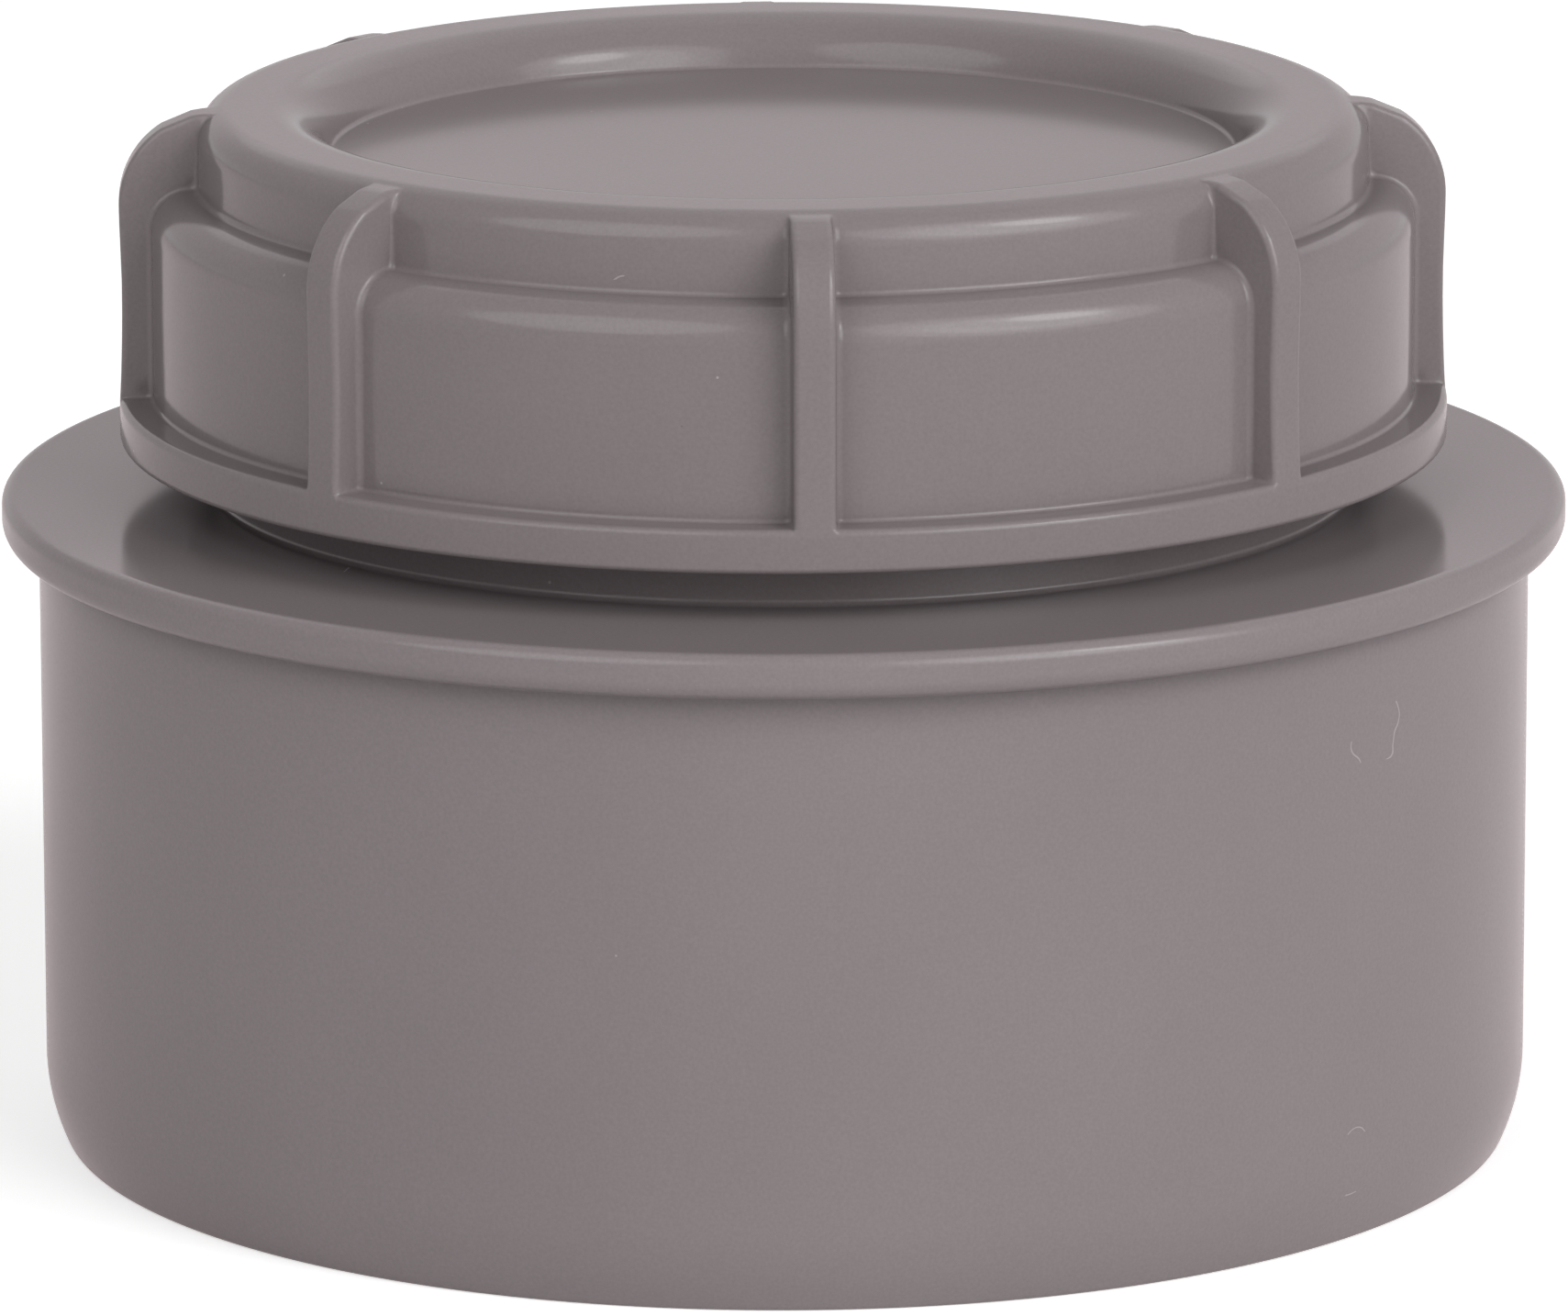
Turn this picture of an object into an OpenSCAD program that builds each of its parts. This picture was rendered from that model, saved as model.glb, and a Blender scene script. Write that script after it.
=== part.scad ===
// Access end cap for a plastic waste pipe: a spigot with a flange and a threaded neck,
// closed by a ribbed screw cap with a rubber sealing ring inside.
// Z points up, and the origin is the centre of the spigot's open end, where the part stands.

/* [Spigot] */
// Outer diameter of the spigot, which pushes into a pipe socket
spigot_od = 110; // [98:0.5:160]
// Wall thickness of the spigot
spigot_wall = 3; // [2:0.1:4]
// Length of the spigot, from its open end to the underside of the flange
spigot_len = 45.1; // [30:0.1:80]
// Height of the rounded lead-in at the open end
lead_h = 6.8; // [3:0.2:12]
// How far the lead-in draws the outside inwards
lead_in = 1.4; // [0.6:0.1:1.6]

/* [Flange] */
// How far the flange stands out past the spigot
flange_out = 2.7; // [1.6:0.1:8]
// Thickness of the flange and of the plate that carries the neck
flange_t = 3.4; // [3:0.1:5]
// Rounding of the flange's two outer edges
flange_edge = 1.4; // [0.4:0.05:1.45]

/* [Neck] */
// Diameter of the neck at the root of its thread
neck_d = 84; // [60:0.5:90]
// Wall thickness of the neck
neck_wall = 2.6; // [2:0.1:4]
// Height of the neck above the flange
neck_h = 18.4; // [17:0.2:30]

/* [Thread] */
// Climb of the thread in one turn
thread_pitch = 5; // [4.6:0.1:6]
// Height of the neck's ridge above its root
thread_depth = 1.5; // [1:0.1:1.8]
// Width of the ridge along its crest
thread_crest_w = 1.2; // [0.8:0.1:1.4]
// Slope of the ridge's flanks
thread_flank = 30; // [20:1:32]
// Height of the neck's ridge above the flange, where its centre line starts
thread_lift = 6.5; // [5:0.1:8]
// Plain height left between the upper end of a ridge and the rim or sealing ring above it
thread_rest = 0.95; // [0.7:0.05:2]
// Radial gap between a crest and the root it runs over
crest_gap = 0.5; // [0.4:0.05:0.8]
// Gap between two flanks, measured along the axis
flank_gap = 0.45; // [0.35:0.05:0.6]

/* [Cap] */
// Wall thickness of the cap's skirt
cap_wall = 2.45; // [2:0.05:4.5]
// Inside depth of the cap, from its foot up to the seat of the sealing ring
cap_depth = 16.6; // [13:0.2:19]
// Thickness of the shoulder over the seat
shoulder_t = 2.1; // [2:0.1:4]
// Rounding of the shoulder's outer edge
shoulder_round = 2.9; // [1:0.1:3]
// How far the upper step is set back from the skirt
step_in = 3.45; // [3.1:0.05:4.2]
// Height of the upper step above the shoulder
step_h = 5.9; // [4.4:0.1:9]
// Rounding of the upper step's edge
step_round = 2.4; // [2:0.1:3]
// Wall thickness of the upper step
step_wall = 3.4; // [2.4:0.1:3.8]
// Height of the inside ridge above the cap's foot, where its centre line starts
cap_thread_lift = 3.7; // [2.8:0.1:6]

/* [Foot ring] */
// How far the ring at the cap's foot stands out past the skirt
ring_out = 2.45; // [2.3:0.05:4]
// Height of the ring
ring_t = 3.2; // [2:0.1:5]
// Rounding of the ring's edges
ring_edge = 0.5; // [0.2:0.05:0.8]

/* [Dish] */
// Width of the flat top between the step's rounded edge and the dish's rounded lip
top_flat = 3; // [2:0.1:12]
// Rounding of the lip, which curves down into the dish's wall and ends at its floor
dish_round = 4.2; // [4:0.1:6]
// Depth of the dish
dish_depth = 3.7; // [3:0.1:4]
// Thickness of the dish's floor and of its wall
top_t = 2.8; // [2:0.1:3]

/* [Ribs] */
// Number of grip ribs
rib_count = 8; // [4:1:12]
// Width of a rib
rib_w = 3; // [2:0.1:5]
// How far a rib stands out from the skirt at its waist; its foot meets the ring's face
rib_out = 2.2; // [1.4:0.1:2.2]
// Extra reach of a rib above its waist, where its rounded top starts
rib_flare = 0.15; // [0:0.05:0.3]
// Rounding over the top of a rib
rib_round = 6.6; // [5:0.1:7]
// Angle of the first rib when the cap is tight
rib_turn = 2.6; // [0:0.1:44]

/* [Sealing ring] */
// Thickness of the ring, which lies between the neck's rim and the cap's seat
seal_t = 2; // [1:0.1:2.4]
// Radial gap between the ring and the skirt
seal_gap = 0.3; // [0.1:0.05:0.5]
// How far the ring reaches in over the neck's wall
seal_in = 2.3; // [1.5:0.1:2.5]

/* [Hidden] */
$fn = 120;
plastic = [0.53, 0.50, 0.51];
rubber = [0.13, 0.13, 0.14];

// Small break of the neck's rim and the cap's mouth, and inside corner of the plate
rim_break = 0.6;
plate_fillet = 1.5;
// Straight pieces in each rounding: fine ones for large curves, coarse ones for edges
fine_steps = 4;
edge_steps = 3;
// A thread ridge: its steps in one turn, how deep it sinks into its wall, and the length
// and starting height of the ramp at each of its ends, as steps and as a share of its depth
turn_steps = 48;
thread_sink = 0.35;
ramp_steps = 4;
ramp_start = 0.3;
// How far a rib sinks into the ring, how far its foot stays inside the ring's face,
// and how far its top stays below the cap's top
rib_sink = 1;
rib_inset = 0.05;
rib_drop = 0.5;

spigot_r = spigot_od / 2;
spigot_bore_r = spigot_r - spigot_wall;
flange_r = spigot_r + flange_out;
flange_z = spigot_len + flange_t;

neck_r = neck_d / 2;
neck_bore_r = neck_r - neck_wall;
neck_z = flange_z + neck_h;
crest_r = neck_r + thread_depth;
flank_run = tan(thread_flank);
neck_root_w = thread_crest_w + 2 * thread_depth * flank_run;
neck_thread_z = flange_z + thread_lift;
neck_turns = (neck_h - thread_lift - neck_root_w / 2 - thread_rest) / thread_pitch;

bore_r = crest_r + crest_gap;
cap_crest_r = neck_r + crest_gap;
cap_crest_w = thread_pitch - neck_root_w + 2 * crest_gap * flank_run - 2 * flank_gap;
cap_root_w = cap_crest_w + 2 * thread_depth * flank_run;
cap_turns = (cap_depth - seal_t - cap_thread_lift - cap_root_w / 2 - thread_rest) / thread_pitch;

seat_z = neck_z + seal_t;
foot_z = seat_z - cap_depth;
shoulder_z = seat_z + shoulder_t;
top_z = shoulder_z + step_h;
skirt_r = bore_r + cap_wall;
ring_r = skirt_r + ring_out;
step_r = skirt_r - step_in;
step_bore_r = step_r - step_wall;
dish_lip_r = step_r - step_round - top_flat;
dish_lean = asin(1 - dish_depth / dish_round);
dish_z = top_z - dish_depth;
dish_back_round = dish_round - top_t;
dish_back_r = dish_lip_r - dish_back_round * cos(dish_lean);
rib_r = skirt_r + rib_out;

// The inside ridge runs in the middle of the neck's groove. It starts on that groove's
// helix at the height that cap_thread_lift gives, so its starting angle follows.
groove_z = neck_thread_z + thread_pitch / 2;
cap_thread_z = foot_z + cap_thread_lift;
cap_thread_angle = 360 * (cap_thread_z - groove_z) / thread_pitch;

// Points of an arc about [x, z], from angle a to angle b
function arc(x, z, r, a, b, steps) =
    [for (i = [0 : steps]) let (t = a + (b - a) * i / steps) [x + r * cos(t), z + r * sin(t)]];

// Outline of the lead-in: a shallow arc that leaves the spigot's side upright
// and has drawn in by lead_in where it reaches the open end
lead_arc_r = (lead_h * lead_h + lead_in * lead_in) / (2 * lead_in);
lead_angle = asin(lead_h / lead_arc_r);

// Height of the ramp at each end of a ridge, as a share of the ridge's full depth
function ramp(i, steps) =
    min(1, ramp_start + (1 - ramp_start) * min(i, steps - i) / ramp_steps);

// A helical ridge of trapezium section. root and crest are radii: the crest is the smaller
// one on a ridge that points inwards. z and angle are where its centre line starts.
module ridge(root, crest, root_w, crest_w, z, angle, turns) {
    steps = round(turns * turn_steps);
    way = sign(crest - root);
    back = root - way * thread_sink;
    back_w = root_w + 2 * thread_sink * flank_run;
    function corners(i) =
        let (share = ramp(i, steps))
        let (r = root + (crest - root) * share, w = root_w + (crest_w - root_w) * share)
        let (back_pair = [back, back_w / 2], tip_pair = [r, w / 2])
        let (inner = way > 0 ? back_pair : tip_pair, outer = way > 0 ? tip_pair : back_pair)
        [[inner[0], -inner[1]], [outer[0], -outer[1]], [outer[0], outer[1]], [inner[0], inner[1]]];
    points = [for (i = [0 : steps]) let (a = angle + 360 * turns * i / steps)
        for (p = corners(i))
            [p[0] * cos(a), p[0] * sin(a), z + thread_pitch * turns * i / steps + p[1]]];
    sides = [for (i = [0 : steps - 1], j = [0 : 3])
        let (a = 4 * i + j, b = 4 * i + (j + 1) % 4)
        each [[a, b, b + 4], [a, b + 4, a + 4]]];
    last = 4 * steps;
    polyhedron(points, concat([[0, 3, 2, 1]], sides, [[last, last + 1, last + 2, last + 3]]));
}

// Half section of the spigot, the flange and the plain neck
module body_section() {
    polygon(concat(
        [[spigot_bore_r, 0]],
        arc(spigot_r - lead_arc_r, lead_h, lead_arc_r, -lead_angle, 0, fine_steps),
        [[spigot_r, spigot_len]],
        arc(flange_r - flange_edge, spigot_len + flange_edge, flange_edge, -90, 0, edge_steps),
        arc(flange_r - flange_edge, flange_z - flange_edge, flange_edge, 0, 90, edge_steps),
        [[neck_r, flange_z]],
        [[neck_r, neck_z - rim_break], [neck_r - rim_break, neck_z]],
        [[neck_bore_r, neck_z], [neck_bore_r, spigot_len]],
        arc(spigot_bore_r - plate_fillet, spigot_len - plate_fillet, plate_fillet, 90, 0, edge_steps)
    ));
}

// One moulding: spigot, flange and threaded neck, open right through
module spigot_body() {
    color(plastic) {
        rotate_extrude() body_section();
        ridge(neck_r, crest_r, neck_root_w, thread_crest_w, neck_thread_z, 0, neck_turns);
    }
}

// Half section of the cap without its ribs and its thread
module cap_section() {
    polygon(concat(
        [[bore_r + rim_break, foot_z]],
        arc(ring_r - ring_edge, foot_z + ring_edge, ring_edge, -90, 0, edge_steps),
        arc(ring_r - ring_edge, foot_z + ring_t - ring_edge, ring_edge, 0, 90, edge_steps),
        [[skirt_r, foot_z + ring_t]],
        arc(skirt_r - shoulder_round, shoulder_z - shoulder_round, shoulder_round, 0, 90, fine_steps),
        [[step_r, shoulder_z]],
        arc(step_r - step_round, top_z - step_round, step_round, 0, 90, fine_steps),
        arc(dish_lip_r, top_z - dish_round, dish_round, 90, 180 - dish_lean, fine_steps),
        [[0, dish_z], [0, dish_z - top_t], [dish_back_r, dish_z - top_t]],
        arc(dish_lip_r, top_z - dish_round, dish_back_round, 180 - dish_lean, 90, edge_steps),
        [[step_bore_r, top_z - top_t], [step_bore_r, seat_z]],
        [[bore_r, seat_z], [bore_r, foot_z + rim_break]]
    ));
}

// Side view of one grip rib, from inside the skirt and the upper step to its outer edge
module rib_section() {
    ring_top = foot_z + ring_t;
    rib_top = top_z - rib_drop;
    rib_foot_r = ring_r - rib_inset;
    rib_back_r = step_r - step_wall / 2;
    polygon(concat(
        [[skirt_r - rib_sink, ring_top - rib_sink], [rib_foot_r, ring_top - rib_sink]],
        [[rib_foot_r, ring_top], [rib_r, (ring_top + shoulder_z) / 2]],
        arc(rib_r + rib_flare - rib_round, rib_top - rib_round, rib_round, 0, 90, fine_steps),
        [[rib_back_r, rib_top], [rib_back_r, shoulder_z - rib_sink]],
        [[skirt_r - rib_sink, shoulder_z - rib_sink]]
    ));
}

// The ring of grip ribs round the cap
module ribs() {
    for (i = [0 : rib_count - 1])
        rotate([0, 0, rib_turn + 360 * i / rib_count])
            rotate([90, 0, 0])
                linear_extrude(height = rib_w, center = true) rib_section();
}

// One moulding: foot ring, skirt with its inside thread, ribs, upper step and dished top
module screw_cap() {
    color(plastic) {
        rotate_extrude() cap_section();
        ribs();
        ridge(bore_r, cap_crest_r, cap_root_w, cap_crest_w, cap_thread_z, cap_thread_angle, cap_turns);
    }
}

// Flat rubber ring between the neck's rim and the cap's seat
module sealing_ring() {
    color(rubber)
        rotate_extrude()
            translate([neck_r - seal_in, neck_z])
                square([bore_r - seal_gap - (neck_r - seal_in), seal_t]);
}

spigot_body();
screw_cap();
sealing_ring();
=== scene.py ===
import bmesh
import bpy
import numpy as np
from mathutils import Matrix


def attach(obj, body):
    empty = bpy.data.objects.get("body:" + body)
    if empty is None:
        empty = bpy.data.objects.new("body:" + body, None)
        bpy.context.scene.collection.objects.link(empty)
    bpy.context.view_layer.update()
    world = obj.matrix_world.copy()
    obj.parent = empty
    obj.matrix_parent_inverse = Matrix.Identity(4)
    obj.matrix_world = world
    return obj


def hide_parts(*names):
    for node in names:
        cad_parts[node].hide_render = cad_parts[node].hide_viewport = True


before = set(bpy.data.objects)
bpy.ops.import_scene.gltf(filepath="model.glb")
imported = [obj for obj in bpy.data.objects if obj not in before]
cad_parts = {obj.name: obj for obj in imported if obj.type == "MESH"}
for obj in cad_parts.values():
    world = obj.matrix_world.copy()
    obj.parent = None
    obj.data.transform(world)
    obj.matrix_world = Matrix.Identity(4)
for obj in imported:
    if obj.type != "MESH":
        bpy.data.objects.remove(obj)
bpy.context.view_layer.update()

scene = bpy.context.scene

# Camera: a long lens nearly a metre in front of the part, looking 13 degrees down on it. It
# leans by a ninth of a degree, as the photo does.
CAMERA_PLACE, CAMERA_DOWN, CAMERA_ROLL = (0.0, -0.938664, 0.2541), 13.142, -0.115
camera_data = bpy.data.cameras.new("camera")
camera_data.sensor_width = 36.0
camera_data.lens = 298.53
camera = bpy.data.objects.new("camera", camera_data)
scene.collection.objects.link(camera)
camera.matrix_world = (
    Matrix.Translation(CAMERA_PLACE)
    @ Matrix.Rotation(np.radians(90.0 - CAMERA_DOWN), 4, "X")
    @ Matrix.Rotation(np.radians(CAMERA_ROLL), 4, "Z")
)
scene.camera = camera

# Studio: white paper on the floor and a white surround. A large softbox on the right is the key
# light, with a small one above it and a weak one below. A smaller softbox stands on the left,
# and a faint one behind.
scene.view_settings.view_transform = "Standard"


def wired(tree, kind, inputs, **settings):
    """New node with its settings. An input is a plain value, or another node's output to link."""
    node = tree.nodes.new(kind)
    for key, value in settings.items():
        setattr(node, key, value)
    for key, value in inputs.items():
        if isinstance(value, bpy.types.NodeSocket):
            tree.links.new(value, node.inputs[key])
        else:
            node.inputs[key].default_value = value
    return node


def mixed(tree, share, first, second, kind="RGBA"):
    """Mix of two colours, or of two values where kind is FLOAT, with the second one's share."""
    low, high, out = (6, 7, 2) if kind == "RGBA" else (2, 3, 0)
    mix = wired(tree, "ShaderNodeMix", {0: share, low: first, high: second}, data_type=kind)
    return mix.outputs[out]


def seen_directly(tree):
    """1 on rays that show the surroundings (camera, mirror and glass rays), 0 on lighting rays."""
    path = tree.nodes.new("ShaderNodeLightPath").outputs
    total = path["Is Camera Ray"]
    for ray in ("Is Glossy Ray", "Is Transmission Ray"):
        total = wired(
            tree, "ShaderNodeMath", {0: total, 1: path[ray]}, operation="MAXIMUM"
        ).outputs[0]
    return total


world = bpy.data.worlds.new("surround")
scene.world = world
world.use_nodes = True
tree = world.node_tree
tree.nodes.clear()
toward = tree.nodes.new("ShaderNodeTexCoord").outputs["Generated"]
upward = wired(tree, "ShaderNodeSeparateXYZ", {"Vector": toward}).outputs["Z"]
grade = wired(tree, "ShaderNodeValToRGB", {"Fac": upward})
# By the sine of the angle above the horizon: white up to 3 degrees, and from 8 degrees a white
# with a little pink in it.
horizon, wall = grade.color_ramp.elements
horizon.position, horizon.color = 0.05, (1.0, 1.0, 1.0, 1.0)
wall.position, wall.color = 0.14, (1.0, 0.91, 0.93, 1.0)
seen = wired(tree, "ShaderNodeBackground", {"Color": grade.outputs["Color"], "Strength": 1.0})
fill = wired(tree, "ShaderNodeBackground", {"Color": (1.0, 0.99, 0.98, 1.0), "Strength": 0.22})
choice = wired(
    tree, "ShaderNodeMixShader", {0: seen_directly(tree), 1: fill.outputs[0], 2: seen.outputs[0]}
)
wired(tree, "ShaderNodeOutputWorld", {"Surface": choice.outputs[0]})

# The paper is matt, and glows by GLOW on the rays that show it: it is white to the camera and
# keeps the part's shadow. Mirrored in the plastic, the glow has a little pink in it.
FLOOR_HALF = 4.0
GLOW = 0.52
floor_mesh = bpy.data.meshes.new("floor")
corners = np.array([[-1, -1, 0], [1, -1, 0], [1, 1, 0], [-1, 1, 0]], float) * FLOOR_HALF
floor_mesh.from_pydata(corners.tolist(), [], [(0, 1, 2, 3)])
floor = bpy.data.objects.new("floor", floor_mesh)
scene.collection.objects.link(floor)
floor_paint = bpy.data.materials.new("floor_paper")
floor_paint.use_nodes = True
tree = floor_paint.node_tree
tree.nodes.clear()
paper = wired(tree, "ShaderNodeBsdfDiffuse", {"Color": (0.85, 0.85, 0.85, 1.0)})
share = wired(tree, "ShaderNodeMath", {0: seen_directly(tree), 1: GLOW}, operation="MULTIPLY")
mirrored = tree.nodes.new("ShaderNodeLightPath").outputs["Is Glossy Ray"]
warm = mixed(tree, mirrored, (1.0, 1.0, 1.0, 1.0), (1.0, 0.78, 0.81, 1.0))
glow = wired(tree, "ShaderNodeEmission", {"Color": warm, "Strength": share.outputs[0]})
both = wired(tree, "ShaderNodeAddShader", {0: paper.outputs[0], 1: glow.outputs[0]})
wired(tree, "ShaderNodeOutputMaterial", {"Surface": both.outputs[0]})
floor_mesh.materials.append(floor_paint)

# The softboxes face the part's middle, which is this high above the floor.
AIM_HEIGHT = 0.04


def softbox(name, azimuth, elevation, distance, discs):
    """Round softbox that faces the part's middle and is brightest at its own middle: discs, given
    as (diameter, radiance), lie on each other. Azimuth is measured from the camera's side, to the
    right. A disc's power is its radiance times pi times its area."""
    az, el = np.radians(azimuth), np.radians(elevation)
    place = np.array([np.sin(az) * np.cos(el), -np.cos(az) * np.cos(el), np.sin(el)]) * distance
    for number, (diameter, radiance) in enumerate(discs):
        lamp = bpy.data.lights.new(f"{name}_{number}", "AREA")
        lamp.shape = "DISK"
        lamp.size = diameter
        lamp.energy = radiance * np.pi * np.pi * diameter**2 / 4
        box = bpy.data.objects.new(f"{name}_{number}", lamp)
        scene.collection.objects.link(box)
        box.matrix_world = (
            Matrix.Translation((place[0], place[1], place[2] + AIM_HEIGHT))
            @ Matrix.Rotation(az, 4, "Z")
            @ Matrix.Rotation(np.radians(90.0) - el, 4, "X")
        )


softbox("softbox_right", 45.0, 28.0, 2.0, ((1.3, 3.7), (2.0, 1.8)))
softbox("softbox_high", 56.0, 36.0, 2.0, ((0.6, 4.2),))
softbox("softbox_low", 28.0, 12.0, 2.0, ((1.2, 0.6),))
softbox("softbox_back", 180.0, 46.0, 2.0, ((2.2, 0.35),))
softbox("softbox_left", -37.5, 37.0, 2.0, ((0.7, 2.1), (1.6, 1.85)))


# Spigot: one moulding of grey plastic, open right through. The flange stops it in the pipe
# socket, and the neck carries the coarse thread for the cap. Sizes are in millimetres.
MM = 0.001
# An arc keeps within ROUND_ERROR of the true rounding, and a point lies SUPPORT beside each arc.
ROUND_ERROR, SUPPORT = 0.004, 0.07


def outline(corners):
    """Rounded outline through corners (radius, height, rounding). At each corner the two sides are
    joined by the arc that touches both, and a point lies just before and just after each arc, so
    that flat faces stay flat when shaded."""
    spot = np.array([c[:2] for c in corners], float)
    rounding = np.array([c[2] for c in corners], float)
    way = np.diff(spot, axis=0)
    way /= np.linalg.norm(way, axis=1)[:, None]
    before, after = way[:-1], way[1:]
    inner, rho = spot[1:-1], rounding[1:-1]
    turn = np.arctan2(
        before[:, 0] * after[:, 1] - before[:, 1] * after[:, 0], (before * after).sum(1)
    )
    side = np.sign(turn)[:, None] * np.c_[-before[:, 1], before[:, 0]]
    start = inner - before * (rho * np.tan(abs(turn) / 2))[:, None]
    step = np.sqrt(8 * ROUND_ERROR / np.maximum(rho, 1e-6))
    pieces = 1 + np.ceil(abs(turn) / step).astype(int)
    count = np.where(rho > 0, pieces + 3, 1)
    which = np.repeat(np.arange(len(rho)), count)
    order = np.arange(len(which)) - np.repeat(np.cumsum(count) - count, count)
    share = np.clip((order - 1) / np.maximum(count[which] - 3, 1), 0, 1)
    angle = abs(turn[which]) * share
    reach = rho[which][:, None]
    points = start[which] + reach * (
        np.sin(angle)[:, None] * before[which] + (1 - np.cos(angle))[:, None] * side[which]
    )
    lead = (order == 0) & (rho[which] > 0)
    trail = (order == count[which] - 1) & (rho[which] > 0)
    points -= np.where(lead, SUPPORT, 0)[:, None] * before[which]
    points += np.where(trail, SUPPORT, 0)[:, None] * after[which]
    return np.vstack([spot[:1], points, spot[-1:]])


def turned(profile, angles):
    """Grid of a profile (radius, height) turned round the axis: x is radius times cosine."""
    r, z = profile[:, :1], profile[:, 1:]
    return np.stack([r * np.cos(angles), r * np.sin(angles), z + 0 * angles], axis=2)


# Roundings at the foot and at the crest of a thread's ridge, and the share of a turn over which
# the ridge rises at its ends.
RIDGE_FOOT_ROUND, RIDGE_CREST_ROUND, RIDGE_RAMP = 0.3, 0.28, 0.09


def thread(root, depth, low, high, start, turns, crest_w, root_w, pitch, columns, phase=0.0):
    """Wall with a helical ridge, as one ribbon a pitch wide that winds up from height low to high.
    Across the ribbon runs the ridge's section, along it the radius ramps in and out at the ends of
    the ridge. Heights are held between low and high, so the ribbon ends in two flat rings. start is
    the ridge's first angle in turns and its height, depth is negative on a ridge that points in,
    and phase is the angle of a column of the grids beside it, in turns."""
    half = pitch / 2
    section = outline(
        [
            (0, 0, 0),
            (half - root_w / 2, 0, RIDGE_FOOT_ROUND),
            (half - crest_w / 2, abs(depth), RIDGE_CREST_ROUND),
            (half + crest_w / 2, abs(depth), RIDGE_CREST_ROUND),
            (half + root_w / 2, 0, RIDGE_FOOT_ROUND),
            (pitch, 0, 0),
        ]
    )
    first_turn, first_z = start
    base = first_z - half - pitch * first_turn
    begin = np.floor(((low - pitch - base) / pitch - phase) * columns) / columns + phase
    end = np.ceil(((high - base) / pitch - phase) * columns) / columns + phase
    along = begin + np.arange(int(round((end - begin) * columns)) + 1) / columns
    since, left = along - first_turn, first_turn + turns - along
    ramp = np.clip(np.minimum(since, left) / RIDGE_RAMP, 0, 1)
    ramp = ramp * ramp * (3 - 2 * ramp)
    z = np.clip(base + pitch * along[None, :] + section[:, :1], low, high)
    r = root + np.sign(depth) * section[:, 1:] * ramp[None, :]
    angle = 2 * np.pi * along[None, :]
    return np.stack([r * np.cos(angle), r * np.sin(angle), z], axis=2)


def grid_faces(rows, columns, closed, start, flip):
    """Four-cornered faces of a grid. Where it is closed, its last column is joined to its first."""
    i, j = np.meshgrid(np.arange(rows - 1), np.arange(columns - (not closed)), indexing="ij")
    k = (j + 1) % columns
    here, above = i * columns, (i + 1) * columns
    quads = np.stack([here + j, here + k, above + k, above + j], 2).reshape(-1, 4) + start
    return quads[:, ::-1] if flip else quads


# Points this near to each other are one point, and faces thinner than this go, in metres.
MERGED_WITHIN, THINNEST = 1.5e-6, 1e-7


def moulding(name, grids):
    """One closed mesh from grids, each given as its points in millimetres, whether its last column
    joins its first, and whether its faces are turned over. Points that coincide are merged, and
    faces with no area go."""
    points, faces, start = [], [], 0
    for grid, closed, flip in grids:
        rows, columns = grid.shape[:2]
        points.append(grid.reshape(-1, 3))
        faces.append(grid_faces(rows, columns, closed, start, flip))
        start += rows * columns
    mesh = bpy.data.meshes.new(name)
    mesh.from_pydata((np.vstack(points) * MM).tolist(), [], np.vstack(faces).tolist())
    work = bmesh.new()
    work.from_mesh(mesh)
    bmesh.ops.remove_doubles(work, verts=work.verts, dist=MERGED_WITHIN)
    bmesh.ops.dissolve_degenerate(work, edges=work.edges, dist=THINNEST)
    work.to_mesh(mesh)
    work.free()
    mesh.shade_smooth()
    piece = bpy.data.objects.new(name, mesh)
    scene.collection.objects.link(piece)
    return piece


PITCH = 5.0
RIDGE_DEPTH = 1.5
SPIGOT_R, SPIGOT_BORE_R = 55.0, 52.0
LEAD_IN_R, LEAD_IN_HIGH = 53.6, 3.256
FLANGE_R, FLANGE_LOW, FLANGE_TOP = 57.7, 45.1, 48.5
NECK_R, NECK_BORE_R, NECK_TOP = 42.0, 39.4, 66.9
NECK_WALL_LOW, NECK_WALL_HIGH = 49.2, 66.3
BODY_COLUMNS = 360

body_profile = outline(
    [
        (NECK_R, NECK_WALL_HIGH, 0),
        (NECK_R, NECK_TOP, 0.4),
        (NECK_BORE_R, NECK_TOP, 0.35),
        (NECK_BORE_R, FLANGE_LOW, 0.4),
        (SPIGOT_BORE_R, FLANGE_LOW, 1.5),
        (SPIGOT_BORE_R, 0, 0.4),
        (LEAD_IN_R, 0, 0.6),
        (SPIGOT_R, LEAD_IN_HIGH, 14.0),
        (SPIGOT_R, FLANGE_LOW, 0.25),
        (FLANGE_R, FLANGE_LOW, 1.4),
        (FLANGE_R, FLANGE_TOP, 1.0),
        (NECK_R, FLANGE_TOP, 0.45),
        (NECK_R, NECK_WALL_LOW, 0),
    ]
)
turns_round = 2 * np.pi * np.arange(BODY_COLUMNS) / BODY_COLUMNS
neck_thread = thread(
    NECK_R, RIDGE_DEPTH, NECK_WALL_LOW, NECK_WALL_HIGH,
    start=(0.0, 55.0), turns=1.897, crest_w=1.2, root_w=2.932,
    pitch=PITCH, columns=BODY_COLUMNS,
)
spigot = moulding(
    "spigot_moulding",
    [(turned(body_profile, turns_round), True, False), (neck_thread, False, False)],
)


def open_group(name, inputs, outputs):
    """New shader node group with its named sockets; gives the group and its two end nodes."""
    group = bpy.data.node_groups.new(name, "ShaderNodeTree")
    for label, kind, start in inputs:
        socket = group.interface.new_socket(name=label, in_out="INPUT", socket_type=kind)
        if start is not None:
            socket.default_value = start
    for label, kind in outputs:
        group.interface.new_socket(name=label, in_out="OUTPUT", socket_type=kind)
    given = group.nodes.new("NodeGroupInput").outputs
    result = group.nodes.new("NodeGroupOutput").inputs
    return group, given, result


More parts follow.
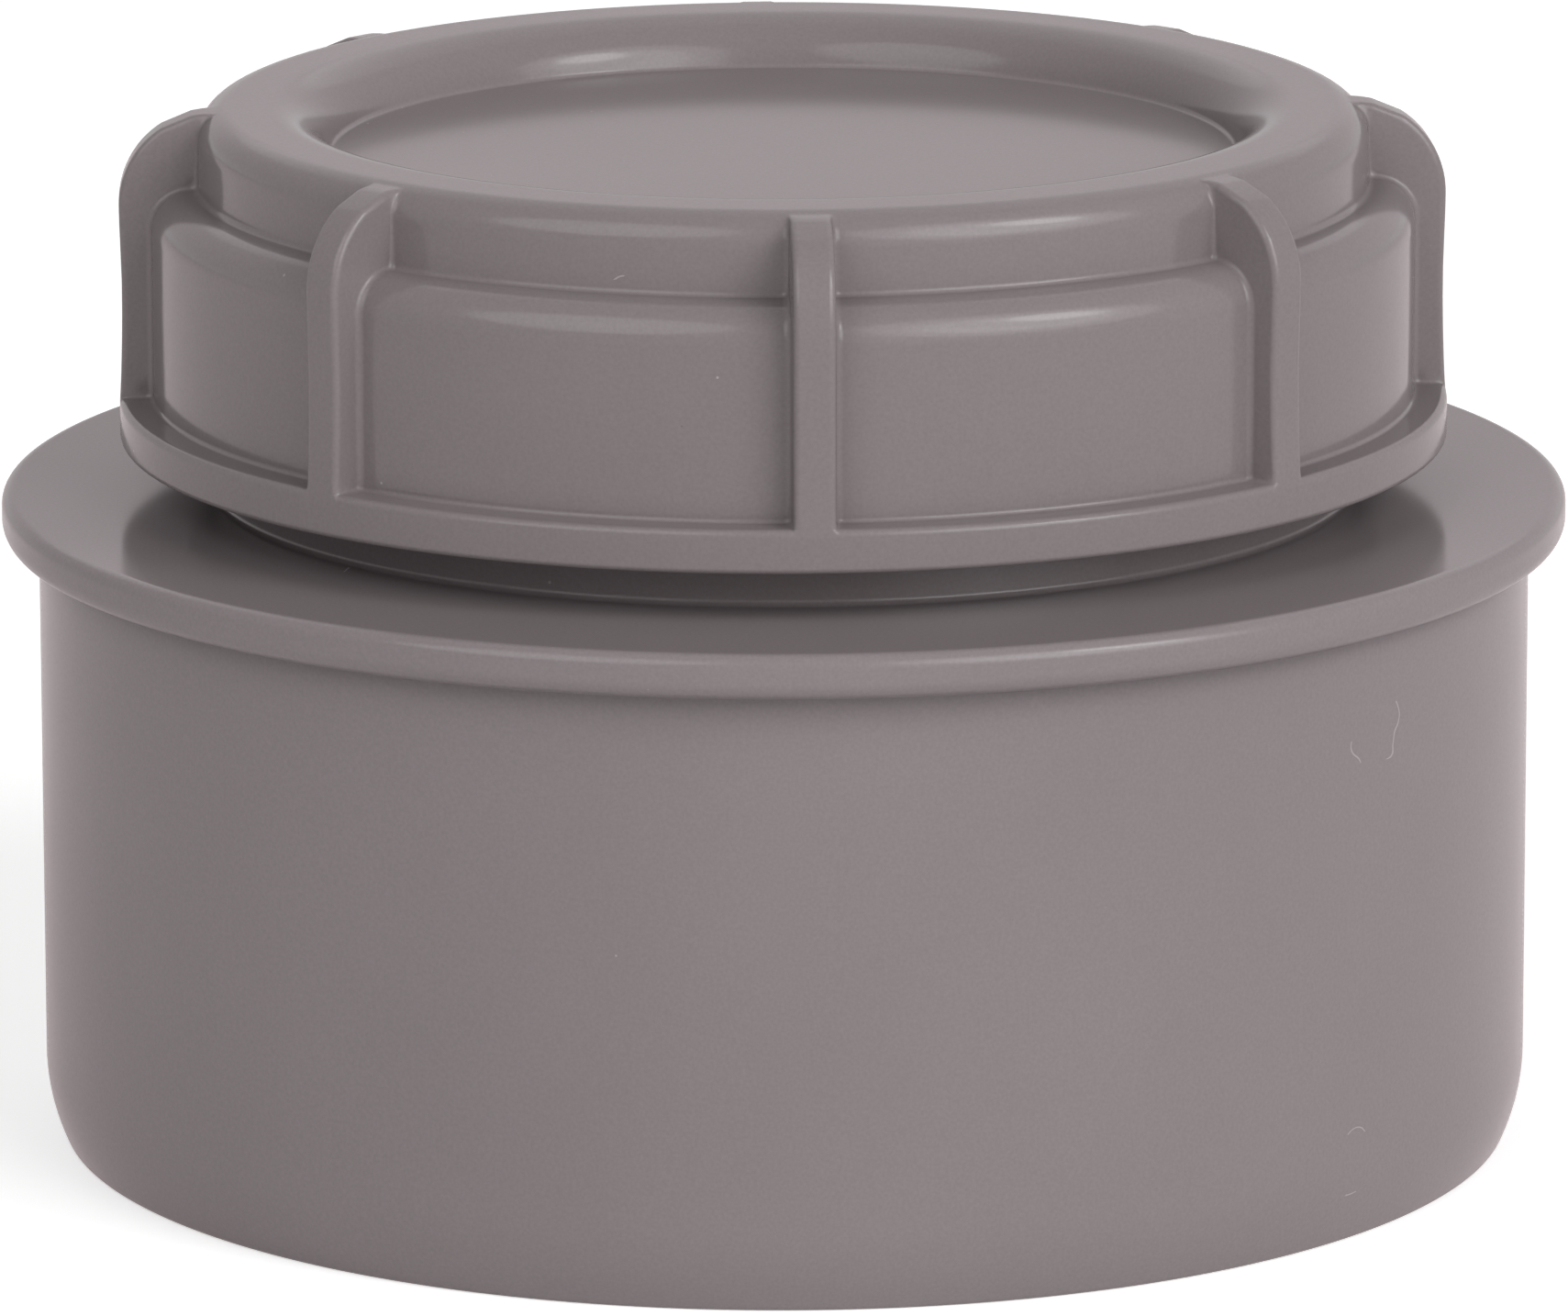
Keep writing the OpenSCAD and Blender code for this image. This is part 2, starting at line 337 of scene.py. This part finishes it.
def mould_grain():
    """Skin of a moulding from a fine-eroded steel tool: Height is a fine grain with a slow
    waviness, Drift a slow change of the tone, and Fleck the grain alone. Grain and Waves are
    sizes per metre."""
    group, given, result = open_group(
        "mould_grain",
        [
            ("Place", "NodeSocketVector", None),
            ("Grain", "NodeSocketFloat", 4000.0),
            ("Waves", "NodeSocketFloat", 260.0),
            ("Wave Share", "NodeSocketFloat", 0.6),
        ],
        [("Height", "NodeSocketFloat"), ("Drift", "NodeSocketFloat"), ("Fleck", "NodeSocketFloat")],
    )
    grain = wired(
        group, "ShaderNodeTexNoise",
        {"Vector": given["Place"], "Scale": given["Grain"], "Detail": 2.0, "Roughness": 0.55},
    )
    waves = wired(
        group, "ShaderNodeTexNoise",
        {"Vector": given["Place"], "Scale": given["Waves"], "Detail": 1.0, "Roughness": 0.4},
    )
    drift = wired(
        group, "ShaderNodeTexNoise",
        {"Vector": given["Place"], "Scale": 38.0, "Detail": 3.0, "Roughness": 0.5},
    )
    swell = wired(
        group, "ShaderNodeMath", {0: waves.outputs[0], 1: given["Wave Share"]},
        operation="MULTIPLY",
    )
    height = wired(
        group, "ShaderNodeMath", {0: grain.outputs[0], 1: swell.outputs[0]}, operation="ADD"
    )
    group.links.new(height.outputs[0], result["Height"])
    group.links.new(drift.outputs[0], result["Drift"])
    group.links.new(grain.outputs[0], result["Fleck"])
    return group


def handling_marks():
    """Marks of handling, each at its own place in a cell of a Voronoi pattern: specks of dust,
    where the distance from the cell's point is under a small radius, and short hair-thin arcs,
    where that distance, bent by a noise, equals a radius and a second noise lets the line show.
    Some are pale and some dark, which Pale gives as 1 or 0."""
    group, given, result = open_group(
        "handling_marks",
        [
            ("Place", "NodeSocketVector", None),
            ("Speck Share", "NodeSocketFloat", 0.12),
            ("Hair Share", "NodeSocketFloat", 0.2),
        ],
        [("Speck", "NodeSocketFloat"), ("Hair", "NodeSocketFloat"), ("Pale", "NodeSocketFloat")],
    )

    # Radii in widths of a cell, as a spread and the least, the half width of a hair, the height of
    # the noise from which it shows, and the draws from which a speck and a hair are pale.
    speck_spread, speck_least, arc_spread, arc_least = 0.035, 0.02, 0.2, 0.12
    hair_half, hair_shows, speck_pale, hair_pale = 0.0045, 0.58, 0.3, 0.5

    def worked(operation, *terms):
        inputs = dict(enumerate(terms))
        return wired(group, "ShaderNodeMath", inputs, operation=operation).outputs[0]

    cells = wired(group, "ShaderNodeTexVoronoi", {"Vector": given["Place"], "Scale": 420.0})
    chance = wired(group, "ShaderNodeSeparateColor", {"Color": cells.outputs["Color"]}).outputs
    radius = worked("MULTIPLY_ADD", chance[1], speck_spread, speck_least)
    speck = worked(
        "MULTIPLY",
        worked("LESS_THAN", chance[0], given["Speck Share"]),
        worked("LESS_THAN", cells.outputs["Distance"], radius),
    )
    bend = wired(
        group, "ShaderNodeTexNoise", {"Vector": given["Place"], "Scale": 330.0, "Detail": 1.0}
    )
    bent = wired(
        group, "ShaderNodeVectorMath",
        {0: bend.outputs["Color"], 1: (0.0022, 0.0022, 0.0022), 2: given["Place"]},
        operation="MULTIPLY_ADD",
    )
    patches = wired(group, "ShaderNodeTexVoronoi", {"Vector": bent.outputs[0], "Scale": 95.0})
    draw = wired(group, "ShaderNodeSeparateColor", {"Color": patches.outputs["Color"]}).outputs
    part = wired(
        group, "ShaderNodeTexNoise", {"Vector": given["Place"], "Scale": 240.0, "Detail": 0.0}
    )
    arc_radius = worked("MULTIPLY_ADD", draw[1], arc_spread, arc_least)
    line = worked("COMPARE", patches.outputs["Distance"], arc_radius, hair_half)
    hair = worked(
        "MULTIPLY",
        worked("MULTIPLY", line, worked("LESS_THAN", draw[0], given["Hair Share"])),
        worked("GREATER_THAN", part.outputs[0], hair_shows),
    )
    pale = worked(
        "ADD",
        worked("MULTIPLY", speck, worked("GREATER_THAN", chance[2], speck_pale)),
        worked("MULTIPLY", hair, worked("GREATER_THAN", draw[2], hair_pale)),
    )
    group.links.new(speck, result["Speck"])
    group.links.new(hair, result["Hair"])
    group.links.new(pale, result["Pale"])
    return group


grain_group = mould_grain()
marks_group = handling_marks()

# The plastic's gloss lies on its dull body as a coat, and a mark dulls it. Gloss, roughness and
# the grain's height in metres are the same on both mouldings.
GLOSS, GLOSS_ROUGHNESS, MARK_GLOSS = 0.6, 0.13, 0.2
BODY_ROUGHNESS, MARK_ROUGHNESS, ROUGHNESS_DRIFT = 0.42, 0.6, 0.015
TONE_DRIFT, FLECK_DEPTH, MARK_COVER = 0.03, 0.05, 0.5
GRAIN_DEPTH = 5.0e-6


def moulded_plastic(name, tone, specks, hairs):
    """Through-coloured moulded plastic with a soft gloss. The tone drifts by a few hundredths and
    is flecked by the grain. specks and hairs are the shares of the cells that carry such a mark,
    pale or dark and dull."""
    paint = bpy.data.materials.new(name)
    paint.use_nodes = True
    tree = paint.node_tree
    shader = tree.nodes["Principled BSDF"]
    shader.inputs["IOR"].default_value = 1.5
    shader.inputs["Specular IOR Level"].default_value = 0.0
    shader.inputs["Coat Roughness"].default_value = GLOSS_ROUGHNESS
    place = tree.nodes.new("ShaderNodeTexCoord").outputs["Object"]
    skin = wired(tree, "ShaderNodeGroup", {"Place": place}, node_tree=grain_group).outputs
    marks = wired(
        tree, "ShaderNodeGroup", {"Place": place, "Speck Share": specks, "Hair Share": hairs},
        node_tree=marks_group,
    ).outputs

    drift = wired(
        tree, "ShaderNodeMapRange", {"Value": skin["Drift"], "From Min": 0.3, "From Max": 0.7}
    ).outputs[0]
    pale = [c * (1 + TONE_DRIFT) for c in tone]
    deep = [c * (1 - TONE_DRIFT) for c in tone]
    body = mixed(tree, drift, (*deep, 1.0), (*pale, 1.0))
    fleck = wired(
        tree, "ShaderNodeMapRange",
        {
            "Value": skin["Fleck"], "From Min": 0.3, "From Max": 0.7,
            "To Min": 1 - FLECK_DEPTH, "To Max": 1 + FLECK_DEPTH,
        },
    )
    flecked = wired(
        tree, "ShaderNodeVectorMath", {0: body, 1: fleck.outputs[0]}, operation="MULTIPLY"
    ).outputs[0]
    marked = wired(
        tree, "ShaderNodeMath", {0: marks["Speck"], 1: marks["Hair"]}, operation="MAXIMUM"
    ).outputs[0]
    mark_tone = mixed(tree, marks["Pale"], (0.07, 0.06, 0.06, 1.0), (0.46, 0.43, 0.43, 1.0))
    cover = wired(tree, "ShaderNodeMath", {0: marked, 1: MARK_COVER}, operation="MULTIPLY")
    final = mixed(tree, cover.outputs[0], flecked, mark_tone)
    tree.links.new(final, shader.inputs["Base Color"])
    smooth = wired(
        tree, "ShaderNodeMapRange",
        {
            "Value": drift,
            "To Min": BODY_ROUGHNESS - ROUGHNESS_DRIFT,
            "To Max": BODY_ROUGHNESS + ROUGHNESS_DRIFT,
        },
    )
    rough = mixed(tree, marked, smooth.outputs[0], MARK_ROUGHNESS, "FLOAT")
    tree.links.new(rough, shader.inputs["Roughness"])
    gloss = mixed(tree, marked, GLOSS, MARK_GLOSS, "FLOAT")
    tree.links.new(gloss, shader.inputs["Coat Weight"])
    bump = wired(
        tree, "ShaderNodeBump",
        {"Strength": 1.0, "Distance": GRAIN_DEPTH, "Height": skin["Height"]},
    )
    tree.links.new(bump.outputs[0], shader.inputs["Normal"])
    return paint


# The spigot's tone is the cap's plastic made lighter by about a fifteenth. This is painted light,
# standing in for the light that the white floor throws up onto the spigot.
SPIGOT_TONE_WITH_PAINTED_LIGHT = (0.219, 0.191, 0.195)
spigot.data.materials.append(
    moulded_plastic("spigot_plastic", SPIGOT_TONE_WITH_PAINTED_LIGHT, specks=0.05, hairs=0.04)
)
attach(spigot, "spigot")
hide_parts("spigot_body")


# Screw cap: one moulding of the same plastic, with a foot ring, eight grip ribs that rise from
# the ring's face and curve over the stepped wall, and a dish in the top. Inside runs the ridge
# that climbs the neck.
FOOT, RING_R, RING_TOP, RING_EDGE = 52.3, 48.9, 55.5, 0.5
RING_FOOT_R = 46.5
SKIRT_R, SHOULDER, STEP_R, CAP_TOP = 46.45, 71.0, 43.0, 76.9
DISH_FLOOR, DISH_FLOOR_R, DISH_RIM_R = 73.2, 33.39, 34.38
BORE_R, SEAT, STEP_BORE_R = 44.0, 68.9, 39.6
DISH_BACK_R, CEILING, GROOVE_TOP = 36.2, 70.4, 74.1
CAP_WALL_LOW, CAP_WALL_HIGH = 53.2, 68.4
RIBS, RIB_HALF, RIB_TURN = 8, 1.5, 2.6
RIB_WAIST_R, RIB_WAIST_Z = 48.65, 63.25
RIB_TOP_R, RIB_TOP_Z, RIB_ROUND, RIB_INNER_R = 48.8, 69.8, 6.85, 40.0
RIB_FILLET, RIB_EDGE, RIB_DRAFT, LEDGE_LIFT = 0.45, 0.45, 0.08, 1.6
RIB_CLEAR, CAP_COLUMNS = 0.1, 336

# A corner without rounding only divides a face: the ribs bend evenly there, and the dish's floor
# has no long thin faces. RIB_CLEAR lies between a rib's fillet and the next column of the wall.
outer_profile = outline(
    [
        (0.0, DISH_FLOOR, 0),
        (12.0, DISH_FLOOR, 0),
        (26.0, DISH_FLOOR, 0),
        (DISH_FLOOR_R, DISH_FLOOR, 0.4),
        (DISH_RIM_R, CAP_TOP, 4.2),
        (STEP_R, CAP_TOP, 2.4),
        (STEP_R, SHOULDER, 0.4),
        (SKIRT_R, SHOULDER, 2.9),
        (SKIRT_R, 66.0, 0),
        (SKIRT_R, 63.5, 0),
        (SKIRT_R, 61.0, 0),
        (SKIRT_R, 58.5, 0),
        (SKIRT_R, RING_TOP, 0.3),
        (47.15, RING_TOP, 0),
        (47.7, RING_TOP, 0),
        (48.15, RING_TOP, 0),
        (RING_R, RING_TOP, RING_EDGE),
        (RING_R, FOOT, 0.4),
        (RING_FOOT_R, FOOT, 0),
    ]
)
inner_low = outline(
    [
        (RING_FOOT_R, FOOT, 0),
        (BORE_R, FOOT, 0.55),
        (BORE_R, CAP_WALL_LOW, 0),
    ]
)
inner_high = outline(
    [
        (BORE_R, CAP_WALL_HIGH, 0),
        (BORE_R, SEAT, 0.3),
        (STEP_BORE_R, SEAT, 0.3),
        (STEP_BORE_R, GROOVE_TOP, 0.5),
        (DISH_BACK_R, GROOVE_TOP, 1.4),
        (DISH_BACK_R, CEILING, 0.6),
        (12.0, CEILING, 0),
        (0.0, CEILING, 0),
    ]
)


def rib_columns(height):
    """Half of a rib's cross-section in rows of the given height, from its middle plane outwards:
    distance beside that plane, and distance out from the wall. The columns cross the edge face, its
    rounding, the drafted flank and the fillet at the wall. On a low rib the fillet and the rounding
    take no more than a share of its height."""
    tall = height[:, None]
    even = np.ones_like(tall)
    fillet = np.minimum(RIB_FILLET, 0.3 * tall)
    rounding = np.minimum(RIB_EDGE, 0.4 * tall)
    face = np.array([[0.0, 0.95]]) * (RIB_HALF - RIB_EDGE)
    q = np.linspace(0, np.pi / 2, 5)[None, :]
    flank = np.array([[0.04, 0.5, 0.96]])
    foot = np.linspace(0, np.pi / 2, 4)[None, :]
    beside = np.hstack(
        [
            face * even,
            (RIB_HALF - RIB_EDGE + RIB_EDGE * np.sin(q)) * even,
            (RIB_HALF + RIB_DRAFT * flank) * even,
            (RIB_HALF + RIB_DRAFT + RIB_FILLET * (1 - np.cos(foot))) * even,
        ]
    )
    out_by = np.hstack(
        [
            tall + 0 * face,
            tall - rounding * (1 - np.cos(q)),
            tall - rounding - (tall - rounding - fillet) * flank,
            fillet * (1 - np.sin(foot)),
        ]
    )
    return beside, out_by


def rib_rise(profile):
    """Way from each row of the wall to the rib's edge line, zero where no rib stands. Above the
    centre of the rib's rounding it runs straight away from that centre. Below, the rows climb the
    edge line evenly: on the ring's rounding they keep their height, and over the ledge they gain
    LEDGE_LIFT, which the skirt gives back. The edge line is the ring's face at the foot, draws in
    to the waist and swings out again to the rounding."""
    wall_r, wall_z = profile[:, 0], profile[:, 1]
    centre = np.array([RIB_TOP_R - RIB_ROUND, RIB_TOP_Z])
    away = profile - centre
    far = np.linalg.norm(away, axis=1)
    above = (wall_z > RIB_TOP_Z) & (wall_r > RIB_INNER_R) & (far < RIB_ROUND)
    below = (wall_z <= RIB_TOP_Z) & (wall_z > RING_TOP - RING_EDGE + 1e-6)
    inward = (RING_R - RING_EDGE - wall_r) / (RING_R - RING_EDGE - SKIRT_R)
    gained = np.clip(inward, 0, 1) * LEDGE_LIFT
    gained *= 1 - np.clip((wall_z - RING_TOP) / (RIB_TOP_Z - RING_TOP), 0, 1)
    climb = wall_z + gained
    low = np.clip((RIB_WAIST_Z - climb) / (RIB_WAIST_Z - RING_TOP + RING_EDGE), 0, 1)
    high = np.clip((climb - RIB_WAIST_Z) / (RIB_TOP_Z - RIB_WAIST_Z), 0, 1)
    edge_r = (
        RIB_WAIST_R
        + (RING_R - RIB_WAIST_R) * low**2
        + (RIB_TOP_R - RIB_WAIST_R) * high**2 * (3 - 2 * high)
    )
    rise = np.where(below[:, None], np.c_[edge_r, climb] - profile, 0.0)
    return np.where(above[:, None], away * (RIB_ROUND / np.maximum(far, 1e-9) - 1)[:, None], rise)


def ribbed(profile):
    """Grid of the cap's outside: the profile turned round the axis, each row drawn out to the rib's
    edge line where a rib stands, by the share of the way that the rib's cross-section gives. Nearer
    to the axis than RIB_INNER_R the columns stand evenly."""
    wall_r, wall_z = profile[:, 0], profile[:, 1]
    rise = rib_rise(profile)
    height = np.linalg.norm(rise, axis=1)
    way = rise / np.maximum(height, 1e-9)[:, None]

    beside, out_by = rib_columns(height)
    near = (wall_r >= RIB_INNER_R)[:, None]
    near[-1] = False
    safe = np.maximum(wall_r, RIB_INNER_R)[:, None]
    rib_angle = np.arcsin(beside / safe)
    half_sector = np.pi / RIBS
    half_count = CAP_COLUMNS // (2 * RIBS)
    between = half_count - beside.shape[1]
    first = np.arcsin((beside[:, -1:] + RIB_CLEAR) / safe)
    steps = np.linspace(0, 1, between + 1)[None, :]
    angle = np.hstack([rib_angle, first + (half_sector - first) * steps])
    even = np.ones_like(near) * np.arange(half_count + 1)[None, :] * half_sector / half_count
    angle = np.where(near, angle, even)
    out_by = np.hstack([out_by, np.zeros((len(profile), between + 1))])
    # One rib's columns from one middle of a gap to the next, then the same round the cap.
    angle = np.hstack([-angle[:, -2:0:-1], angle])
    out_by = np.hstack([out_by[:, -2:0:-1], out_by])
    x = wall_r[:, None] * np.cos(angle) + way[:, :1] * out_by
    y = wall_r[:, None] * np.sin(angle)
    z = wall_z[:, None] + way[:, 1:] * out_by
    rib = np.radians(RIB_TURN) + 2 * np.pi * np.arange(RIBS)[None, :, None] / RIBS
    grid = np.stack(
        [
            x[:, None, :] * np.cos(rib) - y[:, None, :] * np.sin(rib),
            x[:, None, :] * np.sin(rib) + y[:, None, :] * np.cos(rib),
            z[:, None, :] + 0 * rib,
        ],
        axis=3,
    )
    return grid.reshape(len(profile), -1, 3)


# The grids inside the cap start at the angle of the outside's first column, in turns.
cap_phase = RIB_TURN / 360 - (CAP_COLUMNS // (2 * RIBS) - 1) / CAP_COLUMNS
cap_round = 2 * np.pi * (cap_phase + np.arange(CAP_COLUMNS) / CAP_COLUMNS)
cap_thread = thread(
    BORE_R, -RIDGE_DEPTH, CAP_WALL_LOW, CAP_WALL_HIGH,
    start=(-0.3, 56.0), turns=1.642, crest_w=1.745, root_w=3.477,
    pitch=PITCH, columns=CAP_COLUMNS, phase=cap_phase,
)
cap = moulding(
    "cap_moulding",
    [
        (ribbed(outer_profile), True, True),
        (turned(inner_low, cap_round), True, True),
        (cap_thread, False, True),
        (turned(inner_high, cap_round), True, True),
    ],
)
CAP_TONE = (0.205, 0.178, 0.181)
cap.data.materials.append(moulded_plastic("cap_plastic", CAP_TONE, specks=0.09, hairs=0.1))
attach(cap, "cap")
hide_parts("screw_cap")


# Sealing ring: a flat ring of black rubber under the cap's seat, cut with slightly rounded
# edges. It lies on the neck's rim when the cap is tight.
SEAL_IN, SEAL_OUT, SEAL_LOW, SEAL_HIGH, SEAL_ROUND = 39.7, 43.7, 66.9, 68.9, 0.35
seal_middle = (SEAL_IN + SEAL_OUT) / 2
seal_profile = outline(
    [
        (seal_middle, SEAL_LOW, 0),
        (SEAL_OUT, SEAL_LOW, SEAL_ROUND),
        (SEAL_OUT, SEAL_HIGH, SEAL_ROUND),
        (SEAL_IN, SEAL_HIGH, SEAL_ROUND),
        (SEAL_IN, SEAL_LOW, SEAL_ROUND),
        (seal_middle, SEAL_LOW, 0),
    ]
)
seal = moulding("seal_ring", [(turned(seal_profile, turns_round), True, False)])


def black_rubber(name):
    """Cured black rubber: a dull skin with a fine grain, a pale bloom in slow patches and dust."""
    paint = bpy.data.materials.new(name)
    paint.use_nodes = True
    tree = paint.node_tree
    shader = tree.nodes["Principled BSDF"]
    shader.inputs["IOR"].default_value = 1.5
    place = tree.nodes.new("ShaderNodeTexCoord").outputs["Object"]
    skin = wired(
        tree, "ShaderNodeGroup", {"Place": place, "Grain": 2200.0, "Wave Share": 0.3},
        node_tree=grain_group,
    ).outputs
    marks = wired(
        tree, "ShaderNodeGroup", {"Place": place, "Speck Share": 0.3}, node_tree=marks_group
    ).outputs
    bloom = mixed(tree, skin["Drift"], (0.022, 0.022, 0.024, 1.0), (0.046, 0.045, 0.047, 1.0))
    dust = wired(tree, "ShaderNodeMath", {0: marks["Speck"], 1: 0.3}, operation="MULTIPLY")
    dusty = mixed(tree, dust.outputs[0], bloom, (0.4, 0.39, 0.38, 1.0))
    tree.links.new(dusty, shader.inputs["Base Color"])
    rough = wired(
        tree, "ShaderNodeMapRange", {"Value": skin["Drift"], "To Min": 0.62, "To Max": 0.82}
    )
    tree.links.new(rough.outputs[0], shader.inputs["Roughness"])
    bump = wired(
        tree, "ShaderNodeBump", {"Strength": 1.0, "Distance": 1.2e-5, "Height": skin["Height"]}
    )
    tree.links.new(bump.outputs[0], shader.inputs["Normal"])
    return paint


seal.data.materials.append(black_rubber("seal_rubber"))
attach(seal, "seal")
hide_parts("sealing_ring")
